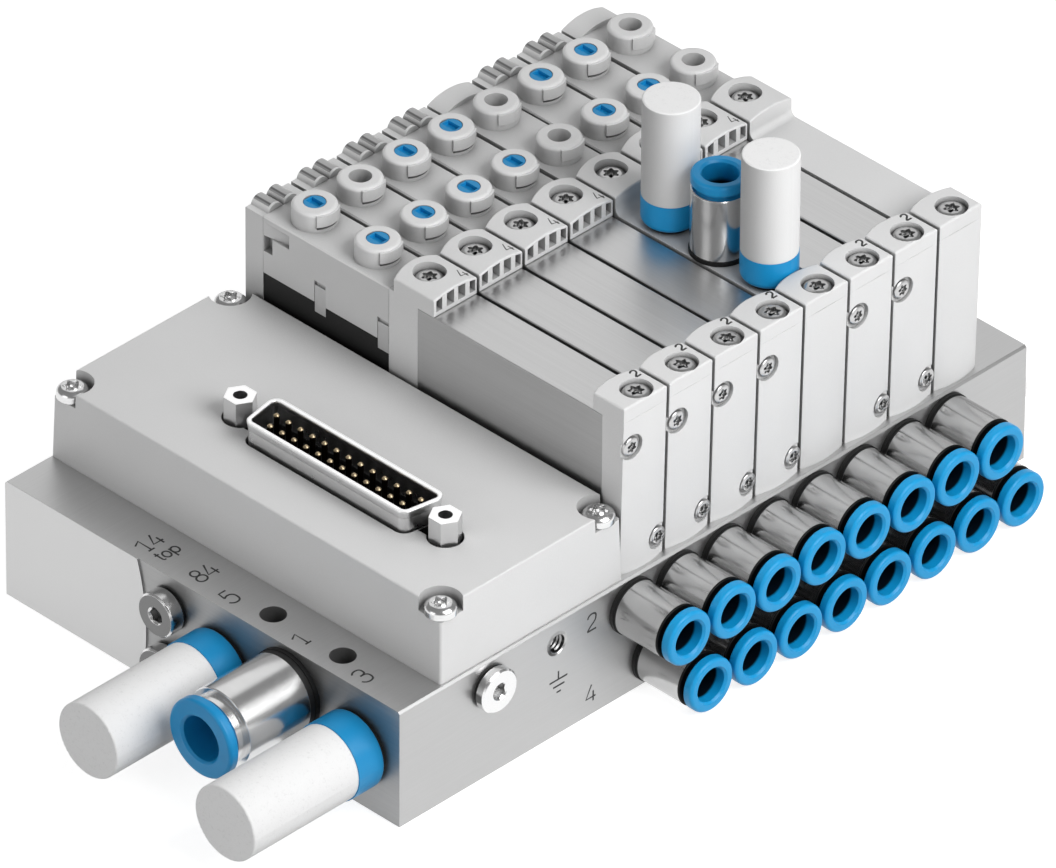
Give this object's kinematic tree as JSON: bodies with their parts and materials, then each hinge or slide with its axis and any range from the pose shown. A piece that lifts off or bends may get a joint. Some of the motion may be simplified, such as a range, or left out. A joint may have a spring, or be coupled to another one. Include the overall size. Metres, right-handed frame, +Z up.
{
  "type": "pneumatic valve island",
  "caption": "Manifold rail with slim solenoid valves side by side, push-in tube fittings, silencers, manual overrides and a multipin electrical connector.",
  "frame": {"origin": "centre of the rail's underside, which is the face that rests on a mounting plate", "axes": "+X towards the work ports, +Y along the rail away from the multipin connector and the supply port, +Z up"},
  "size_m": [0.1042, 0.1792, 0.0769],
  "materials": {
    "rail_aluminium": "milled and clear anodised, fine straight grain",
    "valve_aluminium": "brushed along the valve",
    "spool_aluminium": "hard anodised, polished lands",
    "housing_plastic": "fine moulded texture",
    "grey_plastic": "smooth moulded, satin",
    "black_plastic": "smooth moulded",
    "blue_plastic": "smooth moulded, slightly glossy",
    "smoked_plastic": "clear smoked",
    "porous_plastic": "sintered, fine pores",
    "nickel": "polished nickel plate",
    "screw_steel": "bright zinc plate",
    "tinned_steel": "tin plate, satin",
    "gold": "gold plated contacts",
    "board": "glass-fibre laminate",
    "seal_rubber": "black rubber"
  },
  "bodies": {
    "island": {"blanking_plate": "grey_plastic", "blanking_plugs": "nickel", "circuit_board": "board", "connector_insulator": "black_plastic", "connector_pins": "gold", "connector_shell": "tinned_steel", "connector_standoffs": "nickel", "contact_blocks": "black_plastic", "cover_screws": "screw_steel", "fitting_bodies": "nickel", "fixing_screws": "screw_steel", "light_pipes": "smoked_plastic", "manifold_rail": "rail_aluminium", "multipin_housing": "housing_plastic", "number_caps": "grey_plastic", "pilot_housings": "grey_plastic", "port_covers": "grey_plastic", "port_seals": "seal_rubber", "retaining_clips": "screw_steel", "silencer_bases": "blue_plastic", "silencer_elements": "porous_plastic", "supply_plate": "grey_plastic", "tube_seals": "seal_rubber", "valve_bodies": "valve_aluminium", "valve_gaskets": "seal_rubber"},
    "override_plunger_1_1": {"override_plunger_1_1": "blue_plastic"},
    "override_plunger_1_2": {"override_plunger_1_2": "blue_plastic"},
    "override_plunger_2_2": {"override_plunger_2_2": "blue_plastic"},
    "override_plunger_3_1": {"override_plunger_3_1": "blue_plastic"},
    "override_plunger_3_2": {"override_plunger_3_2": "blue_plastic"},
    "override_plunger_4_1": {"override_plunger_4_1": "blue_plastic"},
    "override_plunger_4_2": {"override_plunger_4_2": "blue_plastic"},
    "override_plunger_6_1": {"override_plunger_6_1": "blue_plastic"},
    "override_plunger_6_2": {"override_plunger_6_2": "blue_plastic"},
    "override_plunger_7_1": {"override_plunger_7_1": "blue_plastic"},
    "override_plunger_7_2": {"override_plunger_7_2": "blue_plastic"},
    "release_ring_supply": {"release_ring_supply": "blue_plastic"},
    "release_ring_top": {"release_ring_top": "blue_plastic"},
    "release_ring_work_1_2": {"release_ring_work_1_2": "blue_plastic"},
    "release_ring_work_1_4": {"release_ring_work_1_4": "blue_plastic"},
    "release_ring_work_2_2": {"release_ring_work_2_2": "blue_plastic"},
    "release_ring_work_2_4": {"release_ring_work_2_4": "blue_plastic"},
    "release_ring_work_3_2": {"release_ring_work_3_2": "blue_plastic"},
    "release_ring_work_3_4": {"release_ring_work_3_4": "blue_plastic"},
    "release_ring_work_4_2": {"release_ring_work_4_2": "blue_plastic"},
    "release_ring_work_4_4": {"release_ring_work_4_4": "blue_plastic"},
    "release_ring_work_5_2": {"release_ring_work_5_2": "blue_plastic"},
    "release_ring_work_5_4": {"release_ring_work_5_4": "blue_plastic"},
    "release_ring_work_6_2": {"release_ring_work_6_2": "blue_plastic"},
    "release_ring_work_6_4": {"release_ring_work_6_4": "blue_plastic"},
    "release_ring_work_7_2": {"release_ring_work_7_2": "blue_plastic"},
    "release_ring_work_7_4": {"release_ring_work_7_4": "blue_plastic"},
    "release_ring_work_8_2": {"release_ring_work_8_2": "blue_plastic"},
    "release_ring_work_8_4": {"release_ring_work_8_4": "blue_plastic"},
    "valve_spool_1": {"valve_spool_1": "spool_aluminium"},
    "valve_spool_2": {"valve_spool_2": "spool_aluminium"},
    "valve_spool_3": {"valve_spool_3": "spool_aluminium"},
    "valve_spool_4": {"valve_spool_4": "spool_aluminium"},
    "valve_spool_6": {"valve_spool_6": "spool_aluminium"},
    "valve_spool_7": {"valve_spool_7": "spool_aluminium"}
  },
  "joints": [
    {"name": "override_plunger_1_1_press", "type": "slide", "parent": "island", "child": "override_plunger_1_1", "axis": [0, 0, -1], "range_m": [0, 0.0009], "stiffness_N_per_m": 2000},
    {"name": "override_plunger_1_2_press", "type": "slide", "parent": "island", "child": "override_plunger_1_2", "axis": [0, 0, -1], "range_m": [0, 0.0009], "stiffness_N_per_m": 2000},
    {"name": "override_plunger_2_2_press", "type": "slide", "parent": "island", "child": "override_plunger_2_2", "axis": [0, 0, -1], "range_m": [0, 0.0009], "stiffness_N_per_m": 2000},
    {"name": "override_plunger_3_1_press", "type": "slide", "parent": "island", "child": "override_plunger_3_1", "axis": [0, 0, -1], "range_m": [0, 0.0009], "stiffness_N_per_m": 2000},
    {"name": "override_plunger_3_2_press", "type": "slide", "parent": "island", "child": "override_plunger_3_2", "axis": [0, 0, -1], "range_m": [0, 0.0009], "stiffness_N_per_m": 2000},
    {"name": "override_plunger_4_1_press", "type": "slide", "parent": "island", "child": "override_plunger_4_1", "axis": [0, 0, -1], "range_m": [0, 0.0009], "stiffness_N_per_m": 2000},
    {"name": "override_plunger_4_2_press", "type": "slide", "parent": "island", "child": "override_plunger_4_2", "axis": [0, 0, -1], "range_m": [0, 0.0009], "stiffness_N_per_m": 2000},
    {"name": "override_plunger_6_1_press", "type": "slide", "parent": "island", "child": "override_plunger_6_1", "axis": [0, 0, -1], "range_m": [0, 0.0009], "stiffness_N_per_m": 2000},
    {"name": "override_plunger_6_2_press", "type": "slide", "parent": "island", "child": "override_plunger_6_2", "axis": [0, 0, -1], "range_m": [0, 0.0009], "stiffness_N_per_m": 2000},
    {"name": "override_plunger_7_1_press", "type": "slide", "parent": "island", "child": "override_plunger_7_1", "axis": [0, 0, -1], "range_m": [0, 0.0009], "stiffness_N_per_m": 2000},
    {"name": "override_plunger_7_2_press", "type": "slide", "parent": "island", "child": "override_plunger_7_2", "axis": [0, 0, -1], "range_m": [0, 0.0009], "stiffness_N_per_m": 2000},
    {"name": "release_ring_supply_press", "type": "slide", "parent": "island", "child": "release_ring_supply", "axis": [0, 1, 0], "range_m": [0, 0.0008], "stiffness_N_per_m": 3000},
    {"name": "release_ring_top_press", "type": "slide", "parent": "island", "child": "release_ring_top", "axis": [0, 0, -1], "range_m": [0, 0.0008], "stiffness_N_per_m": 3000},
    {"name": "release_ring_work_1_2_press", "type": "slide", "parent": "island", "child": "release_ring_work_1_2", "axis": [-1, 0, 0], "range_m": [0, 0.0008], "stiffness_N_per_m": 3000},
    {"name": "release_ring_work_1_4_press", "type": "slide", "parent": "island", "child": "release_ring_work_1_4", "axis": [-1, 0, 0], "range_m": [0, 0.0008], "stiffness_N_per_m": 3000},
    {"name": "release_ring_work_2_2_press", "type": "slide", "parent": "island", "child": "release_ring_work_2_2", "axis": [-1, 0, 0], "range_m": [0, 0.0008], "stiffness_N_per_m": 3000},
    {"name": "release_ring_work_2_4_press", "type": "slide", "parent": "island", "child": "release_ring_work_2_4", "axis": [-1, 0, 0], "range_m": [0, 0.0008], "stiffness_N_per_m": 3000},
    {"name": "release_ring_work_3_2_press", "type": "slide", "parent": "island", "child": "release_ring_work_3_2", "axis": [-1, 0, 0], "range_m": [0, 0.0008], "stiffness_N_per_m": 3000},
    {"name": "release_ring_work_3_4_press", "type": "slide", "parent": "island", "child": "release_ring_work_3_4", "axis": [-1, 0, 0], "range_m": [0, 0.0008], "stiffness_N_per_m": 3000},
    {"name": "release_ring_work_4_2_press", "type": "slide", "parent": "island", "child": "release_ring_work_4_2", "axis": [-1, 0, 0], "range_m": [0, 0.0008], "stiffness_N_per_m": 3000},
    {"name": "release_ring_work_4_4_press", "type": "slide", "parent": "island", "child": "release_ring_work_4_4", "axis": [-1, 0, 0], "range_m": [0, 0.0008], "stiffness_N_per_m": 3000},
    {"name": "release_ring_work_5_2_press", "type": "slide", "parent": "island", "child": "release_ring_work_5_2", "axis": [-1, 0, 0], "range_m": [0, 0.0008], "stiffness_N_per_m": 3000},
    {"name": "release_ring_work_5_4_press", "type": "slide", "parent": "island", "child": "release_ring_work_5_4", "axis": [-1, 0, 0], "range_m": [0, 0.0008], "stiffness_N_per_m": 3000},
    {"name": "release_ring_work_6_2_press", "type": "slide", "parent": "island", "child": "release_ring_work_6_2", "axis": [-1, 0, 0], "range_m": [0, 0.0008], "stiffness_N_per_m": 3000},
    {"name": "release_ring_work_6_4_press", "type": "slide", "parent": "island", "child": "release_ring_work_6_4", "axis": [-1, 0, 0], "range_m": [0, 0.0008], "stiffness_N_per_m": 3000},
    {"name": "release_ring_work_7_2_press", "type": "slide", "parent": "island", "child": "release_ring_work_7_2", "axis": [-1, 0, 0], "range_m": [0, 0.0008], "stiffness_N_per_m": 3000},
    {"name": "release_ring_work_7_4_press", "type": "slide", "parent": "island", "child": "release_ring_work_7_4", "axis": [-1, 0, 0], "range_m": [0, 0.0008], "stiffness_N_per_m": 3000},
    {"name": "release_ring_work_8_2_press", "type": "slide", "parent": "island", "child": "release_ring_work_8_2", "axis": [-1, 0, 0], "range_m": [0, 0.0008], "stiffness_N_per_m": 3000},
    {"name": "release_ring_work_8_4_press", "type": "slide", "parent": "island", "child": "release_ring_work_8_4", "axis": [-1, 0, 0], "range_m": [0, 0.0008], "stiffness_N_per_m": 3000},
    {"name": "valve_spool_1_shift", "type": "slide", "parent": "island", "child": "valve_spool_1", "axis": [-1, 0, 0], "range_m": [0, 0.003]},
    {"name": "valve_spool_2_shift", "type": "slide", "parent": "island", "child": "valve_spool_2", "axis": [-1, 0, 0], "range_m": [0, 0.003], "stiffness_N_per_m": 500},
    {"name": "valve_spool_3_shift", "type": "slide", "parent": "island", "child": "valve_spool_3", "axis": [-1, 0, 0], "range_m": [0, 0.003]},
    {"name": "valve_spool_4_shift", "type": "slide", "parent": "island", "child": "valve_spool_4", "axis": [-1, 0, 0], "range_m": [0, 0.003]},
    {"name": "valve_spool_6_shift", "type": "slide", "parent": "island", "child": "valve_spool_6", "axis": [-1, 0, 0], "range_m": [0, 0.003]},
    {"name": "valve_spool_7_shift", "type": "slide", "parent": "island", "child": "valve_spool_7", "axis": [-1, 0, 0], "range_m": [0, 0.003]}
  ]
}
